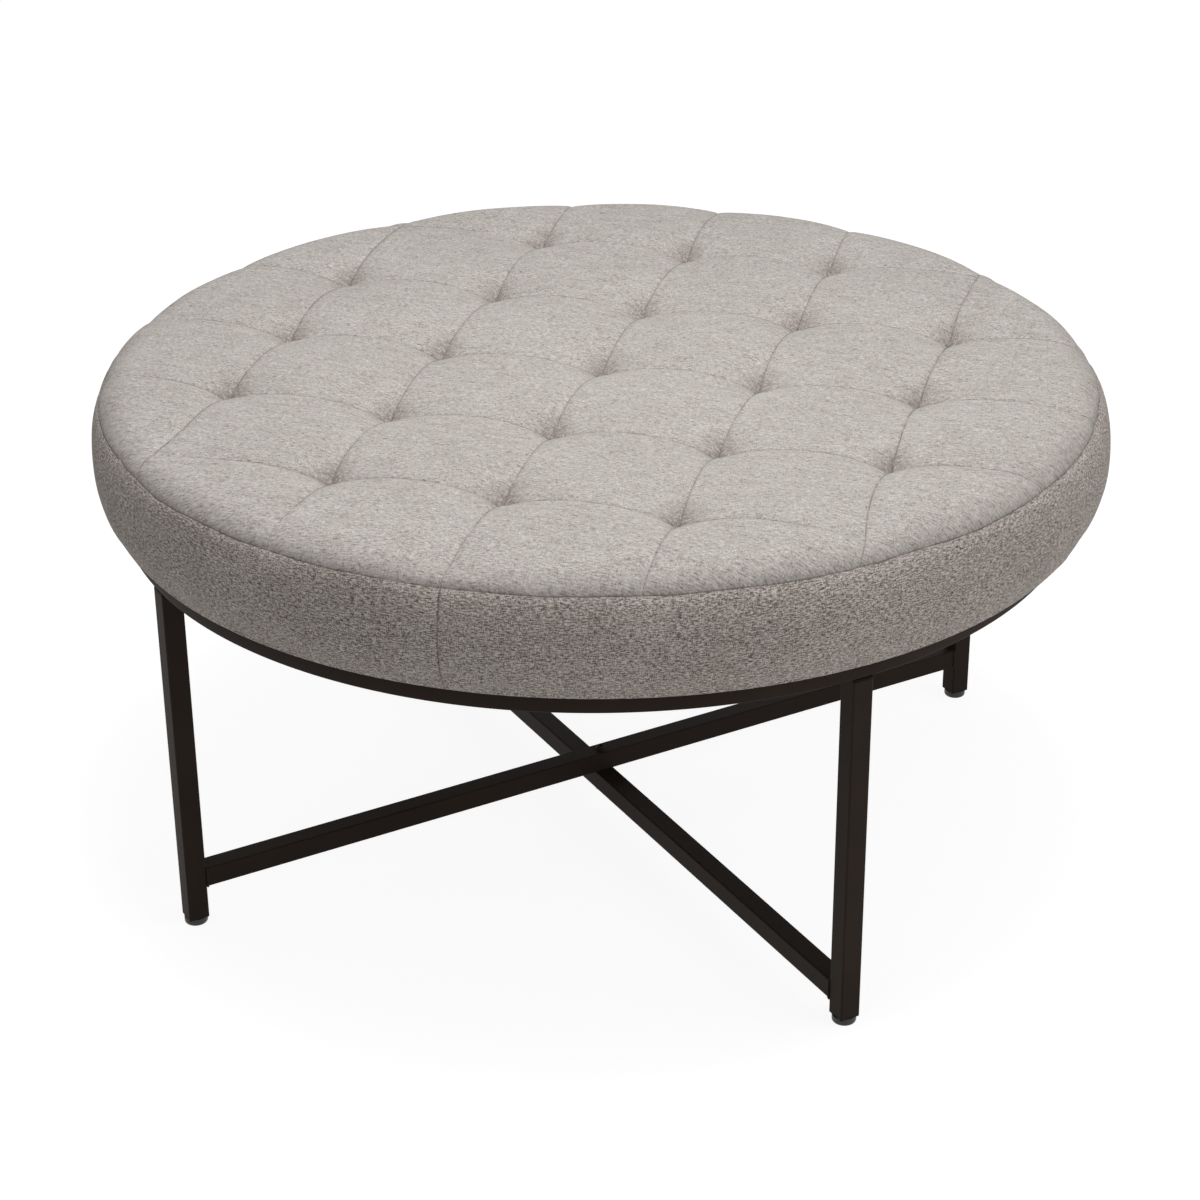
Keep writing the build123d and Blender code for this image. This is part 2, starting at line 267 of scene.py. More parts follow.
@dataclass(frozen=True)
class HeatherCloth:
    """Woven heather cloth of light and dark yarns, with its sewn lines.

    The lines lie where the cloth's own map meets whole steps of the two
    pitches, and on the tufted top at the rim, a circle.
    """

    name: str
    pitch_x: float
    pitch_y: float
    light: Colour = srgb(218, 213, 208)
    middle: Colour = srgb(184, 178, 173)
    dark: Colour = srgb(126, 117, 111)
    seam_and_shade_colour: Colour = srgb(92, 84, 78)
    shade_and_gather_colour: Colour = srgb(132, 119, 111)
    yarn: float = 0.9 * MM
    contrast: float = 1.0
    shares: tuple[float, float, float] = (0.42, 0.16, 0.18)  # of slubs, clouds and blotches in the shade
    slub_scale: Scales = (34.0, 150.0, 1.0)
    cloud_scale: float = 9.0
    blotch_scale: float = 62.0
    line: float = 0.6  # share of the seam colour in a line
    line_edges: tuple[float, float] = (1.0 * MM, 0.2 * MM)  # distances at which it starts and is full
    line_wear_scale: float = 55.0
    firm_from: tuple[float, float] = (240 * MM, 360 * MM)  # places across past which lines get firmer
    seam_shade: float = 0.03  # share of the seam colour in the painted shade beside a line
    seam_shade_width: float = 5.0 * MM
    rim: float = 0.0  # radius of the tufted top's edge seam, 0 on a side strip
    # width of the painted shade inside the edge seam
    rim_shade_width: float = 26.0 * MM
    fan_reach: float = 30.0 * MM  # how far the painted pit shade and the gathered cloth reach from a tuft
    fan_back: float = 5.0 * MM
    fan_shape: tuple[float, float] = (1.15, 0.8)  # how fast it ends across and along
    fan_scale: float = 430.0
    tufts_within: tuple[float, float] = (395 * MM, 360 * MM)

    def weave(self, s: Shader, place: Signal) -> tuple[Signal, Signal]:
        """Tone and height of the weave.

        Each yarn has a tone that changes slowly along it, and a fine speck
        and a softer one lie over both; the yarns' ribs give the height.

        Args:
            s: The shader.
            place: Place on the cloth.

        Returns:
            Tone about one half, and height from 0 to 1.
        """
        per = 1 / self.yarn
        x, y, _ = s.parts(place)
        weft = s.noise(place, (per * 0.17, per * 0.8, 1.0), 1.0)
        warp = s.noise(place, (per * 0.8, per * 0.2, 1.0), 1.0)
        speck = s.noise(place, per * 0.85, 1.0, 0.6)
        soft = s.noise(place, per * 0.36, 1.0)
        tone = weft * 0.36 + warp * 0.14 + speck * 0.34 + soft * 0.16
        ribs = (x * per).peak() + (y * per).peak()
        return tone, ribs * 0.4 + tone * 0.6

    def shade_and_gathers(self, s: Shader, place: Signal, cloud: Signal, base: Signal) -> tuple[Signal, Signal]:
        """Painted shade towards the rim, and painted shade mixed with gathered, flecked cloth in fans behind
        the tufts.

        Args:
            s: The shader.
            place: Place on the cloth.
            cloud: Slow noise over the cloth.
            base: The cloth's colour.

        Returns:
            The new colour, and the height of the gathers.
        """
        x, y, _ = s.parts(place)
        dx = x.off(self.pitch_x) * self.fan_shape[0]
        dy = (y - self.fan_back).off(self.pitch_y) * self.fan_shape[1]
        away = s.math("SQRT", dx * dx + dy * dy)
        radius = s.math("SQRT", x * x + y * y)
        # painted shade: the cloth darkens towards the edge seam, where the roll turns from the light, with a
        # slow cloud in its share
        rim_shade = radius.step(self.rim - self.rim_shade_width, self.rim)
        base = s.mix(rim_shade * (0.08 + cloud * 0.2), base, self.shade_and_gather_colour)
        # painted shade in a fan behind each tuft, where the pit's far wall is in shade, mixed with flecks of
        # gathered cloth
        fleck = s.noise(place, self.fan_scale, 2.0, 0.6).step(0.34, 0.62)
        pit_shade_and_gather = away.step(self.fan_reach, 0.0) * radius.step(*self.tufts_within)
        return s.mix(pit_shade_and_gather * (0.08 + fleck * 0.62), base, self.shade_and_gather_colour), pit_shade_and_gather * fleck * 0.8

    def sewn(self, s: Shader, place: Signal) -> tuple[Signal, Signal]:
        """Distances from the nearest sewn line.

        Args:
            s: The shader.
            place: Place on the cloth.

        Returns:
            The distance in metres from any line, and from a line with painted shade beside it: all on the
            top, only the edge seam on a side strip.
        """
        x, y, _ = s.parts(place)
        edge = y.off(self.pitch_y)
        near = s.math("MINIMUM", x.off(self.pitch_x), edge)
        if self.rim:
            near = s.math("MINIMUM", near, abs(s.math("SQRT", x * x + y * y) - self.rim))
            edge = near
        return near, edge

    def material(self) -> bpy.types.Material:
        """Makes the cloth.

        Its shade is one half plus the weave's tone and the share of each of
        the slower noises, and runs from dark over middle to light.

        Returns:
            The material.
        """
        s = Shader(self.name, 0.95, Sheen_Weight=0.04, Sheen_Roughness=0.5, Specular_IOR_Level=0.08)
        place = s.cloth_place()
        tone, height = self.weave(s, place)
        slub = s.noise(place, self.slub_scale, 2.0, 0.6)
        cloud = s.noise(place, self.cloud_scale)
        blotch = s.noise(place, self.blotch_scale, 2.0, 0.55)
        shade = 0.5 + (tone - 0.5) * (3.2 * self.contrast)
        for noise, share in zip((slub, cloud, blotch), self.shares):
            shade = shade + (noise - 0.5) * share
        base = s.mix(shade.step(0.0, 0.55), self.dark, self.middle)
        base = s.mix(shade.step(0.45, 1.0), base, self.light)
        worn = s.noise(place, self.line_wear_scale, 1.0).step(0.2, 0.62)
        if self.rim:
            base, gathers = self.shade_and_gathers(s, place, cloud, base)
            height = height + gathers
            worn = worn * (1.0 + abs(s.parts(place)[0]).step(*self.firm_from) * 0.7)
        near, edge = self.sewn(s, place)
        line = near.step(*self.line_edges)
        # painted shade: a soft dark band beside the sewn lines, the colour of the seam line itself
        base = s.mix(edge.step(self.seam_shade_width, 0.4 * MM) * self.seam_shade, base, self.seam_and_shade_colour)
        s.put("Base Color", s.mix(line * worn * self.line, base, self.seam_and_shade_colour))
        s.bump(height - line * 1.2, 0.4 * MM, 0.55)
        return s.material


@dataclass(frozen=True)
class PowderCoat:
    """Satin powder coat on steel, with a fine orange-peel skin."""

    name: str = "bronze_powder_coat"
    colour: Colour = srgb(50, 41, 36)
    worn: Colour = srgb(60, 50, 44)
    gap_shadow_colour: Colour = srgb(4, 4, 4)
    gap_shadow_level: float = 0.0  # height in metres of a painted shadow line where the leg meets the ring, 0 for none
    skin_scale: float = 900.0
    cloud_scale: float = 14.0

    def material(self) -> bpy.types.Material:
        """Makes the coat: a fine noise for its skin and a cloud for its shade.

        Returns:
            The material.
        """
        s = Shader(self.name, 0.5, Specular_IOR_Level=0.06)
        place = s.object_place()
        skin = s.noise(place, self.skin_scale, 2.0, 0.55)
        cloud = s.noise(place, self.cloud_scale, 3.0)
        base = s.mix(cloud.step(0.35, 0.75) * 0.6, self.colour, self.worn)
        # painted shadow: a near-black band at the gap between the leg's top and the ring
        if self.gap_shadow_level:
            _, _, z = s.parts(place)
            base = s.mix(abs(z - self.gap_shadow_level).step(3.2 * MM, 1.8 * MM) * 0.9, base, self.gap_shadow_colour)
        s.put("Base Color", base)
        s.put("Roughness", 0.46 + cloud * 0.10 + skin * 0.06)
        s.bump(skin, 0.05 * MM, 0.6)
        return s.material


@dataclass(frozen=True)
class ZincPlate:
    """Bright zinc plate with a slight yellow cloud."""

    name: str = "zinc_plate"
    colour: Colour = srgb(196, 196, 192)
    cloud_colour: Colour = srgb(168, 164, 150)
    cloud_scale: float = 160.0

    def material(self) -> bpy.types.Material:
        """Makes the plate: a cloud in its colour and roughness.

        Returns:
            The material.
        """
        s = Shader(self.name, 0.35, Metallic=1.0)
        cloud = s.noise(s.object_place(), self.cloud_scale, 3.0)
        s.put("Base Color", s.mix(cloud, self.colour, self.cloud_colour))
        s.put("Roughness", 0.25 + cloud * 0.2)
        return s.material


@dataclass(frozen=True)
class MouldedNylon:
    """Moulded nylon with a fine grain."""

    name: str
    colour: Colour
    roughness: float = 0.5
    grain_scale: float = 1500.0
    cloud_scale: float = 40.0

    def material(self) -> bpy.types.Material:
        """Makes the nylon: a fine grain in its bump, a faint cloud in its shade.

        Returns:
            The material.
        """
        s = Shader(self.name, self.roughness)
        place = s.object_place()
        grain = s.noise(place, self.grain_scale)
        cloud = s.noise(place, self.cloud_scale)
        paler = tuple(min(1.0, v * 1.5 + 0.01) for v in self.colour)
        s.put("Base Color", s.mix(cloud.step(0.4, 0.9) * 0.5, self.colour, paler))
        s.put("Roughness", self.roughness - 0.06 + grain * 0.12)
        s.bump(grain, 0.04 * MM, 0.5)
        return s.material


@dataclass(frozen=True)
class Plywood:
    """Raw plywood with grain along X on its faces and thin layers at its edge."""

    name: str = "plywood"
    light: Colour = srgb(214, 186, 142)
    dark: Colour = srgb(164, 124, 80)
    grain_scale: Scales = (6.0, 160.0, 400.0)
    layer_pair: float = 4.8 * MM

    def material(self) -> bpy.types.Material:
        """Makes the wood: drawn-out noise for grain and height bands for layers.

        Returns:
            The material.
        """
        s = Shader(self.name, 0.7)
        place = s.object_place()
        _, _, z = s.parts(place)
        grain = s.noise(place, self.grain_scale, 4.0, 0.6)
        layer = (z * (1 / self.layer_pair)).peak() * 2.0
        s.put("Base Color", s.mix(grain.step(0.3, 0.75) * 0.7 + layer * 0.2, self.light, self.dark))
        s.bump(grain, 0.1 * MM, 0.4)
        return s.material


@dataclass(frozen=True)
class OpenFoam:
    """Pale open-cell foam with small pores."""

    name: str = "open_foam"
    light: Colour = srgb(240, 228, 186)
    dark: Colour = srgb(212, 194, 140)
    pore_scale: float = 700.0

    def material(self) -> bpy.types.Material:
        """Makes the foam: cell noise for its pores.

        Returns:
            The material.
        """
        s = Shader(self.name, 0.95)
        cells = s.node("ShaderNodeTexVoronoi", {}, {"Vector": s.object_place(), "Scale": self.pore_scale})
        pore = Signal(s, cells.outputs["Distance"])
        s.put("Base Color", s.mix(pore.step(0.1, 0.6), self.dark, self.light))
        s.bump(pore, 0.3 * MM, 0.8)
        return s.material


@dataclass(frozen=True)
class LooseFibre:
    """White fibre wadding, tangled along the wrap."""

    name: str = "loose_fibre"
    light: Colour = srgb(246, 246, 243)
    dark: Colour = srgb(216, 216, 212)
    tangle_scale: Scales = (260.0, 260.0, 90.0)

    def material(self) -> bpy.types.Material:
        """Makes the wadding: fine tangled noise.

        Returns:
            The material.
        """
        s = Shader(self.name, 0.95, Sheen_Weight=0.3)
        tangle = s.noise(s.object_place(), self.tangle_scale, 5.0, 0.7)
        s.put("Base Color", s.mix(tangle.step(0.3, 0.7), self.dark, self.light))
        s.bump(tangle, 0.8 * MM, 0.8)
        return s.material


@dataclass(frozen=True)
class SpunCloth:
    """Thin black spun cloth with a dimpled bond pattern."""

    name: str = "spun_cloth"
    colour: Colour = srgb(30, 30, 31)
    paler: Colour = srgb(58, 58, 60)
    pitch: float = 1.6 * MM
    fibre_scale: Scales = (420.0, 900.0, 1.0)

    def material(self) -> bpy.types.Material:
        """Makes the cloth: a square grid of dimples over a fibre noise.

        Returns:
            The material.
        """
        s = Shader(self.name, 0.8, Sheen_Weight=0.2)
        place = s.cloth_place()
        x, y, _ = s.parts(place)
        dimple = ((x / self.pitch).peak() * (y / self.pitch).peak() * 4.0).step(0.25, 0.8)
        fibre = s.noise(place, self.fibre_scale, 3.0, 0.6)
        s.put("Base Color", s.mix(fibre.step(0.4, 0.8) * 0.7, self.colour, self.paler))
        s.bump(dimple * 0.6 + fibre * 0.4, 0.15 * MM, 0.7)
        return s.material


@dataclass(frozen=True)
class WaxedTwine:
    """Twisted waxed twine."""

    name: str = "waxed_twine"
    light: Colour = srgb(226, 214, 186)
    dark: Colour = srgb(168, 150, 116)
    turns_along: float = 420.0
    turns_across: float = 300.0

    def material(self) -> bpy.types.Material:
        """Makes the twine: slanting bands for its twist.

        Returns:
            The material.
        """
        s = Shader(self.name, 0.6)
        x, y, z = s.parts(s.object_place())
        twist = (z * self.turns_along + (x + y) * self.turns_across).peak() * 2.0
        s.put("Base Color", s.mix(twist, self.dark, self.light))
        s.bump(twist, 0.3 * MM, 0.8)
        return s.material


# Meshes


def make_piece(
    name: str,
    points: np.ndarray,
    faces: list[np.ndarray],
    material: bpy.types.Material,
    cloth: np.ndarray | None = None,
    sharp: float | None = None,
) -> bpy.types.Object:
    """Makes an object from arrays.

    Args:
        name: The piece's name.
        points: Places in millimetres, one row each.
        faces: Arrays of point numbers, one row a face.
        material: Its finish.
        cloth: Places on the cut cloth in millimetres, one row a point.
        sharp: Angle in degrees past which an edge stays sharp, None for none.

    Returns:
        The object, at the origin.
    """
    mesh = bpy.data.meshes.new(name)
    rows = [row for block in faces for row in block.tolist()]
    mesh.from_pydata((points * MM).tolist(), [], rows)
    mesh.update()
    if cloth is not None:
        layer = mesh.uv_layers.new(name="cloth")
        corner = np.empty(len(mesh.loops), np.int32)
        mesh.loops.foreach_get("vertex_index", corner)
        layer.data.foreach_set("uv", (cloth[corner] * MM).astype(np.float32).ravel())
    mesh.materials.append(material)
    mesh.polygons.foreach_set("use_smooth", np.ones(len(mesh.polygons), bool))
    if sharp is not None:
        mesh.set_sharp_from_angle(angle=np.radians(sharp))
    made = bpy.data.objects.new(name, mesh)
    bpy.context.scene.collection.objects.link(made)
    LOG.info("%s: %d points", name, len(points))
    return made


def grid_faces(rows: int, columns: int, wrap_rows: bool = False, wrap_columns: bool = False) -> np.ndarray:
    """Four-sided faces of a grid of points kept row by row.

    Args:
        rows: Count of rows.
        columns: Count of columns.
        wrap_rows: Joins the last row to the first.
        wrap_columns: Joins the last column to the first.

    Returns:
        One row of four point numbers a face.
    """
    i = np.arange(rows if wrap_rows else rows - 1)[:, None]
    j = np.arange(columns if wrap_columns else columns - 1)[None, :]
    down, right = (i + 1) % rows, (j + 1) % columns
    corners = [i * columns + j, down * columns + j, down * columns + right, i * columns + right]
    return np.stack(corners, -1).reshape(-1, 4)


def shell(wall: np.ndarray, thickness: float) -> tuple[np.ndarray, list[np.ndarray]]:
    """Closed shell of a grid: the grid, a copy set back along its normals, and the edge between.

    Args:
        wall: Points of shape rows by columns by three.
        thickness: How far the copy is set back.

    Returns:
        All points one row each, and the blocks of faces.
    """
    rows, columns = wall.shape[:2]
    normal = np.cross(np.gradient(wall, axis=1), np.gradient(wall, axis=0))
    normal = normal / np.linalg.norm(normal, axis=-1, keepdims=True)
    points = np.concatenate([wall.reshape(-1, 3), (wall - normal * thickness).reshape(-1, 3)])
    outer = grid_faces(rows, columns)[:, ::-1]
    count = rows * columns
    number = np.arange(count).reshape(rows, columns)
    ring = np.concatenate([number[0], number[1:, -1], number[-1, -2::-1], number[-2:0:-1, 0]])
    after = np.roll(ring, -1)
    return points, [outer, outer[:, ::-1] + count, np.stack([ring + count, after + count, after, ring], 1)]


def lathe(profile: np.ndarray, turns: np.ndarray, centre: Sequence[float] = (0.0, 0.0)) -> np.ndarray:
    """Points of a profile carried round an upright axis, one row of points a turn.

    Args:
        profile: Rows of radius and height.
        turns: Angles in radians.
        centre: Where the axis stands.

    Returns:
        Points, one row each, turn by turn: the radius times the cosine and
        sine of each angle, and the height.
    """
    r, z = profile[:, 0], profile[:, 1]
    x = centre[0] + np.cos(turns)[:, None] * r
    y = centre[1] + np.sin(turns)[:, None] * r
    return np.stack([x, y, np.broadcast_to(z, x.shape)], -1).reshape(-1, 3)


def rounded_section(half: float, corner: float, steps: int = 6) -> np.ndarray:
    """Outline of a square with rounded corners, run clockwise from above its right side.

    Args:
        half: Half the square's side.
        corner: Radius of its corners.
        steps: Points on each corner.

    Returns:
        Rows of two, each corner's middle plus its radius times cosine and sine.
    """
    middle = np.repeat(np.array([(1, 1), (1, -1), (-1, -1), (-1, 1)]) * (half - corner), steps, axis=0)
    a = np.concatenate([np.linspace(np.pi / 2, 0, steps) - k * np.pi / 2 for k in range(4)])
    return middle + corner * np.stack([np.cos(a), np.sin(a)], 1)


def circle(count: int) -> np.ndarray:
    """Angles in radians, evenly spaced once round."""
    return np.linspace(0, 2 * np.pi, count, endpoint=False)


def wander(angle: np.ndarray, counts: Sequence[int], seed: int) -> np.ndarray:
    """Uneven wave round a circle: cosines of whole counts with seeded phases, about 1 high.

    Args:
        angle: Angles in radians.
        counts: Waves round the circle.
        seed: Seed of the phases.

    Returns:
        The wave at each angle.
    """
    rng = np.random.default_rng(seed)
    phase = rng.uniform(0, 2 * np.pi, len(counts))
    size = rng.uniform(0.6, 1.4, len(counts))
    wave = sum(s * np.cos(n * angle + p) for s, n, p in zip(size, counts, phase))
    return wave / np.sqrt(len(counts))


# Cushion


@dataclass
class Underside:
    """Dust cover and the staples round its rim."""

    cover_radius: float = 376.0
    cover_level: float = 353.85
    board_level: float = 353.98
    sag: float = 4.0
    sag_radii: tuple[float, float] = (350.0, 374.0)
    thickness: float = 0.12
    pull: float = 0.25
    pull_radius: float = 352.0
    pull_reach: float = 12.0
    ripple: float = 0.1
    staples: int = 84
    staple_radius: float = 371.5
    staple_level: float = 353.2
    staple_wobble: float = 0.12
    seed: int = 11

    def build_cover(self) -> None:
        """Makes the dust cover: a thin round cloth whose middle sags, with a thickness.

        Its height is the rim's less the sag times an eased step inwards, plus
        small radial pulls at the rim and a slow ripple.
        """
        rim = self.cover_radius
        radii = np.concatenate([np.linspace(1, rim - 26, 40), np.linspace(rim - 22, rim, 10)])
        r, a = np.meshgrid(radii, circle(288), indexing="ij")
        pulls = self.pull * wander(a, (36, 47, 61), self.seed + 6)
        z = self.cover_level - self.sag * (1 - smooth(*self.sag_radii, r))
        z = z + pulls * np.exp(-(((r - self.pull_radius) / self.pull_reach) ** 2))
        z = z + self.ripple * wander(a, (5, 8, 13), 3) * (r / rim)
        low = np.stack([r * np.cos(a), r * np.sin(a), z], -1).reshape(-1, 3)
        high = low + (0, 0, self.thickness)
        high[:, 2] = np.minimum(high[:, 2], self.board_level)
        rows, columns = r.shape
        count = rows * columns
        faces = grid_faces(rows, columns, wrap_columns=True)[:, ::-1]
        hub = np.arange(columns)
        edge = (rows - 1) * columns + hub
        after = np.roll(edge, -1)
        band = np.stack([edge, after, after + count, edge + count], 1)
        blocks = [faces, faces[:, ::-1] + count, band, hub[::-1][None, :], (hub + count)[None, :]]
        points = np.concatenate([low, high])
        made = make_piece("dust_cloth", points, blocks, SpunCloth().material(), points[:, :2], 60)
        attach(made, ROOT)
        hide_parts("dust_cover")

    def build_staples(self) -> None:
        """Makes the row of staples through the dust cover's rim into the board.

        Each is a flat wire with bowed ends: six rings of eight points carried
        along it, laid along the rim and turned a little.
        """
        rng = np.random.default_rng(self.seed + 9)
        along = np.array([-5.3, -5.0, -4.4, 4.4, 5.0, 5.3])
        thick = np.array([0.12, 0.40, 0.55, 0.55, 0.40, 0.12])
        lift = np.array([0.5, 0.15, 0.0, 0.0, 0.15, 0.5])
        sides = 8
        a = circle(sides)
        x = np.repeat(along, sides)
        y = (thick[:, None] * np.cos(a)).ravel()
        z = (lift[:, None] + 0.6 * thick[:, None] * np.sin(a)).ravel() + self.staple_level
        last = np.arange(sides)[None, :] + len(x) - sides
        first = np.arange(sides)[::-1][None, :]
        faces = grid_faces(len(along), sides, wrap_columns=True)[:, ::-1]
        points, blocks = [], []
        for k in range(self.staples):
            a = 2 * np.pi * (k + rng.uniform(-self.staple_wobble, self.staple_wobble)) / self.staples
            t = a + np.pi / 2 + rng.uniform(-self.staple_wobble, self.staple_wobble)
            there_x = x * np.cos(t) - y * np.sin(t) + self.staple_radius * np.cos(a)
            there_y = x * np.sin(t) + y * np.cos(t) + self.staple_radius * np.sin(a)
            points.append(np.stack([there_x, there_y, z], 1))
            blocks += [block + len(x) * k for block in (faces, first, last)]
        steel = ZincPlate("staple_steel").material()
        made = make_piece("rim_staples", np.concatenate(points), blocks, steel, None, 50)
        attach(made, ROOT)


@dataclass
class Cushion:
    """Tufted drum cushion: top, two side strips and what they are filled with."""

    spacing: float = 148.0
    seam_radius: float = 439.5
    seam_level: float = 443.4
    crown_level: float = 459.2
    top_floor: float = 436.3
    shoulder_run: float = 35.0
    roll_power: float = 2.8
    bulge_radius: float = 452.6
    bulge_level: float = 394.0
    fullness: float = 2.4  # power by which the side rounds over towards the edge seam
    underside: float = 354.0
    tuck_radius: float = 438.5
    hem_radius: float = 365.0
    cloth_thickness: float = 1.0
    turn: float = -0.589  # degrees that the cushion sits round from the frame
    shift: tuple[float, float] = (3.0, 0.9)
    seed: int = 11

    # the edge seam
    lean_angle: float = -119.0  # where the edge seam sits furthest out and highest
    lean_out: float = 5.0
    lean_up: float = 2.2
    seam_ease: tuple[float, float] = (1.0, 0.2)  # out and up
    pleat_reach: float = 26.0
    pleat_in: float = 2.6
    pleat_down: float = 0.9
    seam_wander: tuple[float, float] = (0.6, 0.5)

    # the tufting
    drift_x: tuple[float, float, float] = (0.6, -1.6, -1.3)  # constant, by count, by squared count
    drift_y: tuple[float, float, float] = (-7.4, -1.7, 2.7)
    row_bow: float = 1.6
    hand: float = 1.4  # unevenness of the tufter's hand
    pillow_sink: float = 1.3
    pillow_lift: float = 0.8
    corner_sink: float = 13.0
    bare_corner: float = 0.15  # share of the corner sink at a crossing without a tuft
    crease_sink: float = 1.25
    crease_reach: float = 2.4
    crease_gain: float = 0.5  # how much deeper the creases get over the next two radii
    crease_gain_radii: tuple[float, float] = (240.0, 340.0)
    shoulder_crease: tuple[float, float] = (1.2, 24.0)  # sink and reach
    pit_sink: float = 3.6
    pit_reach: float = 8.0
    pit_power: float = 1.25
    pucker: float = 0.5
    pucker_reach: float = 13.0
    let_out_width: float = 60.0  # width of the rim that follows the seam's true radius
    rim_curl: float = 2.2  # depth and reach of the curl at the rim
    skirt_share: float = 0.9945  # how far out the skirt ends, as a share of the rim

    # the side strips
    curl_in: tuple[float, float] = (2.4, 1.8)  # amount and reach under the edge seam
    curl_down: tuple[float, float] = (1.2, 1.6)
    end_in: tuple[float, float] = (1.3, 1.4)
    gather: tuple[float, float] = (0.35, 16.0)
    tuck: tuple[float, float] = (0.9, 12.0)
    billow: float = 1.1
    billow_height: float = 88.0
    seam_fade: tuple[float, float] = (26.0, 22.0)  # how far down the seam's run out and up is felt
    slip_fade: float = 50.0

    underneath: Underside = field(default_factory=Underside)

    def tufts(self) -> np.ndarray:
        """Places of the twenty-one tufts: five rows of five without the corners.

        Returns:
            Rows of X and Y on the even grid.
        """
        i, j = np.meshgrid(np.arange(-2, 3), np.arange(-2, 3), indexing="ij")
        keep = np.abs(i) + np.abs(j) < 4
        return np.stack([i[keep], j[keep]], 1) * self.spacing

    def placed(self, points: np.ndarray) -> np.ndarray:
        """Cushion's own places turned and shifted as the cushion sits on its frame.

        Args:
            points: Rows of X, Y and Z.

        Returns:
            The moved rows.
        """
        a = np.radians(self.turn)
        x = points[:, 0] * np.cos(a) - points[:, 1] * np.sin(a) + self.shift[0]
        y = points[:, 0] * np.sin(a) + points[:, 1] * np.cos(a) + self.shift[1]
        return np.stack([x, y, points[:, 2]], 1)

    def drift(self, x: np.ndarray, y: np.ndarray) -> tuple[np.ndarray, np.ndarray]:
        """How far the cloth is drawn aside, since the tufts are tied a little off their even grid.

        Counted in tufts from the middle, each way's amount is a constant, a
        share of the count and shares of the squared counts, so the rows bow a
        little. Slow waves stand for the unevenness of the hand. Towards the
        edge only the part that runs along the seam is kept.

        Args:
            x: Places along X on the even grid.
            y: Places along Y.

        Returns:
            What is to be added along X and along Y.
        """
        u = np.clip(x / self.spacing, -2.2, 2.2)
        v = np.clip(y / self.spacing, -2.2, 2.2)
        level, by_count, by_square = self.drift_x
        dx = level + by_count * u + by_square * u**2 + self.hand * np.sin(2.1 * u + 3.7 * v + 1.0)
        level, by_count, by_square = self.drift_y
        dy = level + by_count * v + by_square * v**2 + self.row_bow * u**2
        dy = dy + self.hand * np.sin(3.1 * u - 1.7 * v)
        r = np.maximum(np.hypot(x, y), 1.0)
        outward = (dx * x + dy * y) / r * smooth(350, self.seam_radius, r)
        return dx - outward * x / r, dy - outward * y / r

    def slip(self, angle: np.ndarray) -> np.ndarray:
        """Angle by which the drift draws the edge seam along itself."""
        dx, dy = self.drift(self.seam_radius * np.cos(angle), self.seam_radius * np.sin(angle))
        return (dy * np.cos(angle) - dx * np.sin(angle)) / self.seam_radius

    def pleat_pull(self, angle: np.ndarray) -> np.ndarray:
        """How strongly the pleats pull the edge seam in, from 0 to about 1.

        Each sewn line meets the seam at two angles; the pull falls off from
        each of them as an exponential of the distance along the seam, so the
        seam bows out between two pleats.

        Args:
            angle: Angles round the cushion in radians.

        Returns:
            The pull at each angle.
        """
        side = np.arcsin(np.arange(-2, 3) * self.spacing / self.seam_radius)
        ends = np.concatenate([side, np.pi - side, np.pi / 2 - side, -np.pi / 2 + side])
        away = (angle[..., None] - ends + np.pi) % (2 * np.pi) - np.pi
        blunted = np.sqrt((away * self.seam_radius) ** 2 + 4.0)
        return np.exp(-blunted / self.pleat_reach).max(-1)

    def seam_line(self, angle: np.ndarray) -> tuple[np.ndarray, np.ndarray]:
        """Radius and height of the edge seam.

        Args:
            angle: Angles in radians.

        Returns:
            Radius and height at each angle: the plain circle, let out at the
            lean, pulled in at the pleats and a little uneven.
        """
        pull = self.pleat_pull(angle)
        lean = 0.5 + 0.5 * np.cos(angle - np.radians(self.lean_angle))
        uneven_r = self.seam_wander[0] * wander(angle, (3, 5, 9, 14, 23), self.seed)
        uneven_z = self.seam_wander[1] * wander(angle, (2, 7, 11, 19, 31), self.seed + 1)
        out, up = self.seam_ease
        radius = self.seam_radius + out + self.lean_out * lean - self.pleat_in * pull
        height = self.seam_level + up + self.lean_up * lean - self.pleat_down * pull
        return radius + uneven_r, height + uneven_z

    def top_height(self, x: np.ndarray, y: np.ndarray) -> np.ndarray:
        """Height of the tufted top.

        With u and v from 0 at the middle of a pillow to 1 at its sewn lines,
        these are taken from a level crown: a shallow dome, the sink times u
        squared plus v squared; the corner sink times the square of u times v,
        which makes each line an arch between its tufts; a narrow crease, an
        exponential of the distance from each line; and at each tuft a funnel,
        an exponential of a power of the distance from it, with a few radial
        puckers. The rim rolls down to the seam by a power of the run, and the
        lines end there in wider pleats. Each pillow is lifted a little, no two
        alike, and slow waves lie over them all.

        Args:
            x: Places along X in the cushion's own frame.
            y: Places along Y.

        Returns:
            Heights.
        """
        rng = np.random.default_rng(self.seed)
        r = np.hypot(x, y)
        seam_r, seam_z = self.seam_line(np.arctan2(y, x))
        run = np.clip(1 - (seam_r - r) / self.shoulder_run, 0, 1)
        inner = 1 - smooth(0.0, 1.0, run)
        half = self.spacing / 2
        fx = np.abs((x / self.spacing + 0.5) % 1 - 0.5) * self.spacing
        fy = np.abs((y / self.spacing + 0.5) % 1 - 0.5) * self.spacing
        u, v = 1 - fx / half, 1 - fy / half
        sink, reach = self.shoulder_crease
        height = self.crown_level - (self.crown_level - seam_z) * run**self.roll_power
        height = height - sink * np.exp(-np.minimum(fx, fy) / reach) * np.sin(np.pi * run) ** 2
        height = height - self.pillow_sink * (u**2 + v**2) * inner
        crossing = np.abs(np.round(x / self.spacing)) + np.abs(np.round(y / self.spacing))
